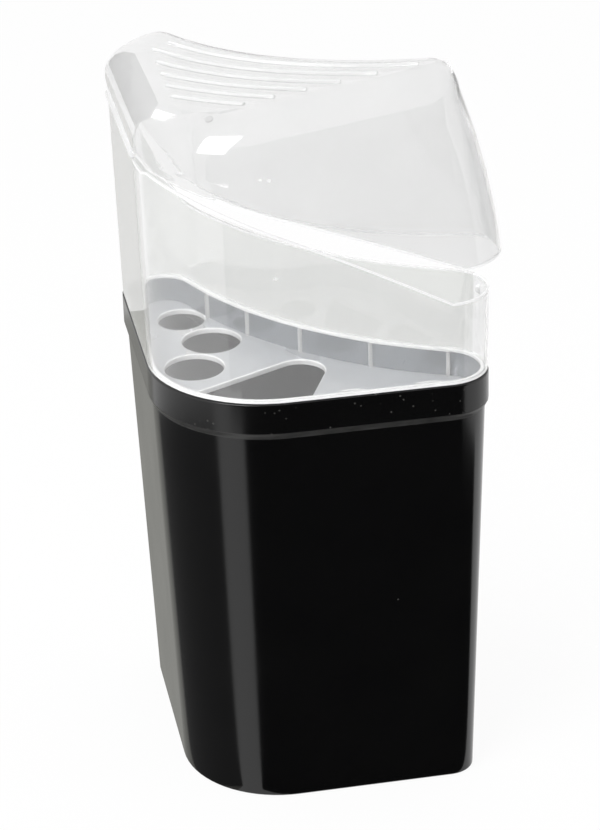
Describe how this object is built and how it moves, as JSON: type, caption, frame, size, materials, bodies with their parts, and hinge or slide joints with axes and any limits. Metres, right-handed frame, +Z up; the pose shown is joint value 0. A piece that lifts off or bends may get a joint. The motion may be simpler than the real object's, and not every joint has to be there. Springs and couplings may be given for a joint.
{
  "type": "brush and tool organizer",
  "caption": "Corner-shaped upright stand: black tub with a collar, a clear tray with openings for brushes and tools, a clear sloped sleeve and a hinged ribbed lid resting ajar.",
  "frame": {"origin": "on the underside, on the vertical axis of the large round corner between the two straight sides", "axes": "+X along the straight front towards tip C, +Y along the straight hinge side towards tip A, +Z up"},
  "size_m": [0.1136, 0.1164, 0.2512],
  "materials": {
    "black_plastic": "gloss",
    "rack_plastic": "natural translucent, smooth",
    "sleeve_plastic": "natural translucent, gloss",
    "bead_plastic": "natural translucent, gloss",
    "lid_plastic": "natural translucent, gloss"
  },
  "bodies": {
    "tub": {"tub": "black_plastic"},
    "rack": {"rack": "rack_plastic"},
    "hood": {"sleeve": "sleeve_plastic", "hinge_bead": "bead_plastic"},
    "lid": {"lid": "lid_plastic"}
  },
  "joints": [
    {"name": "rack_lift", "type": "slide", "parent": "tub", "child": "rack", "axis": [0, 0, 1], "range_m": [0, 0.02]},
    {"name": "hood_lift", "type": "slide", "parent": "tub", "child": "hood", "axis": [0, 0, 1], "range_m": [0, 0.04]},
    {"name": "lid_hinge", "type": "hinge", "parent": "hood", "child": "lid", "pos_m": [-0.0406, 0.02925, 0.223], "axis": [0, -1, 0], "range_deg": [-6, 120]}
  ]
}
